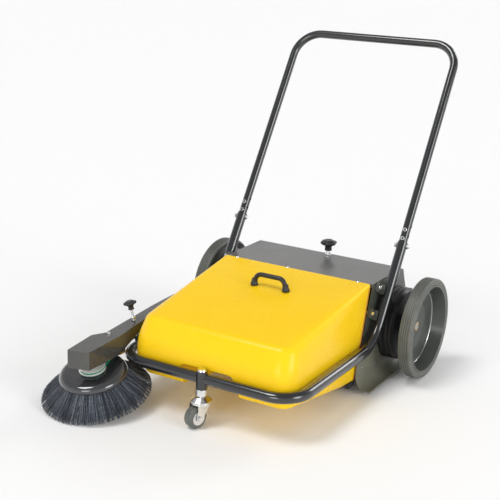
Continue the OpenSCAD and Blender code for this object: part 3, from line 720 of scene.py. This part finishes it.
def knobs():
    """Both hand knobs on their threaded studs."""
    at, _ = joint_line("main_brush_knob_turn")
    low, _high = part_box("brush_knob")
    base = Vector((at.x, at.y, low.z))
    knob("brush_knob", "brush_adjuster", base, UP, 0.026, 0.033)
    screw_low, screw_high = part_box("brush_knob_screw")
    foot = Vector((at.x, at.y, 0))
    threaded_stud("brush_stud", foot, UP, screw_low.z, screw_high.z - 0.001, 0.004,
                  "brush_adjuster")
    cover_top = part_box("top_cover")[1].z
    washer = lathe("brush_stud_washer", [
        (0.0042, cover_top + 0.0001), (0.0098, cover_top + 0.0001), (0.0100, cover_top + 0.0010),
        (0.0096, cover_top + 0.0019), (0.0042, cover_top + 0.0019)], foot, UP, 64)
    give(washer, "brush_adjuster", "zinc", ["brush_knob_screw"])
    hex_nut("brush_stud_nut", foot, UP, cover_top + 0.002, cover_top + 0.0088, 0.013,
            "brush_adjuster")

    at, axis = joint_line("side_knob_turn")
    axis = -axis
    knob("side_knob", "side_adjuster", at + axis * 0.032, axis, 0.019, 0.026)
    threaded_stud("side_stud", at, axis, -0.0468, 0.044, 0.004, "side_adjuster")
    hex_nut("side_stud_nut", at, axis, 0.0041, 0.0099, 0.013, "side_adjuster")
    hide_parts("side_knob_screw")


# ---------------------------------------------------------------- handle

LEG_X = 0.274
LEG_RADIUS = 0.0125
LEG_LEAN = math.radians(32)
HOLES_ABOVE_BOLT = (0.020, 0.047)


def height_holes():
    """Bright collars round the spare height holes on the front of both handle legs, each with a
    black disc as painted shade inside the hole.
    """
    bolt = box_middle("handle_bolts")
    up_leg = Vector((0, math.sin(LEG_LEAN), math.cos(LEG_LEAN)))
    front = Vector((0, -math.cos(LEG_LEAN), math.sin(LEG_LEAN)))
    for side in (-1, 1):
        for n, along in enumerate(HOLES_ABOVE_BOLT):
            name = f"height_hole_{side_name(side)}_{n}"
            at = (Vector((side * LEG_X, bolt.y, bolt.z)) + up_leg * along
                  + front * LEG_RADIUS)
            collar = lathe(name + "_collar", [
                (0.0034, -0.0025), (0.0060, -0.0025), (0.0060, 0.0001), (0.0055, 0.0006),
                (0.0038, 0.0006), (0.0034, 0.0002)], at, front, 48)
            give(collar, "chassis", "zinc")
            # Black disc in place of the hole's inside: painted shade.
            hole_shade_disc = lathe(name + "_dark", [(0.0, -0.0020), (0.0034, -0.0020), (0.0034, 0.0001),
                                          (0.0, 0.0001)], at, front, 32, closed=False)
            give(hole_shade_disc, "chassis", "black_plastic")


# ---------------------------------------------------------------- round belt

def round_belt():
    """The belt as one smooth closed tube on the route that the CAD belt takes."""
    origin, axis = joint_line("side_brush_spin")
    across = Vector((1, 0, 0))
    along = axis.cross(across)
    if along.y < 0:
        along = -along
    pulley_height, belt_r = 0.082, 0.003
    middle = origin + axis * pulley_height
    groove_r, rear_r, rear_x = 0.032, 0.036, -0.306
    guide_y, inner_x, outer_x = -0.622, -0.298, -0.314
    slope = along.z / along.y
    guide_z = middle.z + (guide_y - middle.y) * slope
    reach = (guide_y - middle.y) / along.y

    def leave(x, side):
        gap = x - middle.x
        return math.atan2(reach, gap) - side * math.acos(groove_r / math.hypot(gap, reach))

    start, end = leave(outer_x, -1), leave(inner_x, 1) + 2 * math.pi
    axle = joint_line("left_wheel_spin")[0].z
    route = []
    for i in range(41):
        a = start + (end - start) * i / 40
        route.append(middle + groove_r * (math.cos(a) * across + math.sin(a) * along))
    guide_in = Vector((inner_x, guide_y, guide_z))
    route += [route[-1].lerp(guide_in, t) for t in (0.5, 0.85)] + [guide_in]
    rear = [Vector((rear_x, rear_r * math.cos(a), axle + rear_r * math.sin(a)))
            for a in [math.radians(94 - 188 * i / 36) for i in range(37)]]
    route += [guide_in.lerp(rear[0], t) for t in (0.08, 0.5)] + rear
    guide_out = Vector((outer_x, guide_y, guide_z))
    route += [rear[-1].lerp(guide_out, t) for t in (0.5, 0.92)] + [guide_out]
    route += [guide_out.lerp(route[0], t) for t in (0.15, 0.5)]
    belt = tube("round_belt", route, belt_r, 14, closed=True)
    give(belt, "side_arm", "belt_green", ["side_belt"])


# ---------------------------------------------------------------- all other CAD nodes

SOFT_EDGES = {
    "side_plate_left": 0.4, "side_plate_right": 0.4, "top_cover": 1.0, "rear_panel": 0.5,
    "rear_flap": 0.6, "side_skirts": 0.8, "skirt_screws": 0.4, "frame_tube_left": 0.5,
    "frame_tube_right": 0.5, "caster_socket": 0.8, "tube_saddles": 0.8, "saddle_bolts": 0.4,
    "handle_tube": 0.3, "handle_bolts": 0.4, "stub_axles": 0.4, "axle_nuts": 0.6,
    "gear_case": 0.5, "wheel_rim_left": 0.5, "wheel_rim_right": 0.5,
    "wheel_bearings_left": 0.3, "wheel_bearings_right": 0.3, "belt_drive_pulley": 0.3,
    "drive_gear": 0.2, "brush_carrier": 0.5, "brush_bearings": 0.3, "brush_shaft": 0.5,
    "brush_core": 0.5, "drive_pinion": 0.2, "hopper_screws": 0.3, "hopper_lip": 1.2,
    "side_arm": 0.6, "side_arm_bush": 0.4, "side_arm_bolt": 0.6, "side_spindle": 0.4,
    "belt_guide_bracket": 0.4, "guide_roller_inner": 0.5, "guide_roller_outer": 0.5,
    "arm_stop_bracket": 0.6, "side_pulley": 0.4, "side_brush_disc": 0.8,
    "side_brush_bearing": 0.3, "caster_stem": 0.8, "caster_fork": 0.6, "caster_axle": 0.4,
    "caster_hub": 0.4, "caster_tyre": 0.8,
}


# ---------------------------------------------------------------- stage

def stage():
    """Pale floor, a sky that is bright at the horizon, and four soft suns."""
    bpy.ops.mesh.primitive_plane_add(size=300, location=(0, 0, 0))
    floor = bpy.context.object
    floor.name = "floor"
    material, tree, shader = new_material("floor_pale", (0.95, 0.95, 0.95), 0.6)
    rough_between(tree, shader, noise(tree, 6), 0.55, 0.65)
    floor.data.materials.append(material)

    world = bpy.data.worlds.new("studio")
    world.use_nodes = True
    sky = world.node_tree
    place = sky.nodes.new("ShaderNodeTexCoord")
    height = sky.nodes.new("ShaderNodeSeparateXYZ")
    fade = sky.nodes.new("ShaderNodeMapRange")
    fade.inputs["From Min"].default_value = 0.10
    fade.inputs["From Max"].default_value = 0.60
    fade.inputs["To Min"].default_value = 1.00
    fade.inputs["To Max"].default_value = 0.36
    sky.links.new(place.outputs["Generated"], height.inputs["Vector"])
    sky.links.new(height.outputs["Z"], fade.inputs["Value"])
    sky.links.new(fade.outputs["Result"], sky.nodes["Background"].inputs["Strength"])
    sky.nodes["Background"].inputs["Color"].default_value = (1, 1, 1, 1)
    bpy.context.scene.world = world
    bpy.context.scene.view_settings.view_transform = "Standard"

    def soft_sun(name, direction, spread, strength):
        light = bpy.data.lights.new(name, "SUN")
        light.angle = math.radians(spread)
        light.energy = strength
        lamp = bpy.data.objects.new(name, light)
        lamp.rotation_euler = Vector(direction).to_track_quat("Z", "Y").to_euler()
        lamp.location = 4 * Vector(direction)
        bpy.context.scene.collection.objects.link(lamp)

    soft_sun("key", (-0.25, -0.37, 0.90), 24, 1.35)
    soft_sun("front", (0.10, -0.95, 0.30), 26, 0.60)
    soft_sun("right", (0.93, -0.15, 0.32), 26, 1.00)
    soft_sun("rear", (0.35, 0.90, 0.55), 20, 0.45)


def camera():
    """The photograph's viewing angle."""
    azimuth, fall, roll = 0.5312, 0.2908, 0.0321
    eye = Vector((1.4145, -2.8382, 1.2666))
    forward = Vector((-math.sin(azimuth) * math.cos(fall),
                      math.cos(azimuth) * math.cos(fall), -math.sin(fall)))
    right = Vector((math.cos(azimuth), math.sin(azimuth), 0))
    up = right.cross(forward)
    turned_right = math.cos(roll) * right + math.sin(roll) * up
    turned_up = -math.sin(roll) * right + math.cos(roll) * up
    data = bpy.data.cameras.new("camera")
    data.sensor_width = 36
    data.lens = 77.22
    view = bpy.data.objects.new("camera", data)
    turn = Matrix((turned_right, turned_up, -forward)).transposed().to_4x4()
    view.matrix_world = Matrix.Translation(eye) @ turn
    bpy.context.scene.collection.objects.link(view)
    bpy.context.scene.camera = view


hopper()
pull_handle()
for sign in (-1, 1):
    word = side_name(sign)
    tyre(f"tyre_{word}", f"{word}_wheel", f"{word}_wheel_spin", sign)
    rim_rings(f"wheel_rim_{word}", f"{word}_wheel", f"{word}_wheel_spin", sign)
side_brush_bristles()
main_brush_bristles()
knobs()
height_holes()
round_belt()
for node_name, edge in SOFT_EDGES.items():
    skin(node_name, edge * MM)
stage()
camera()
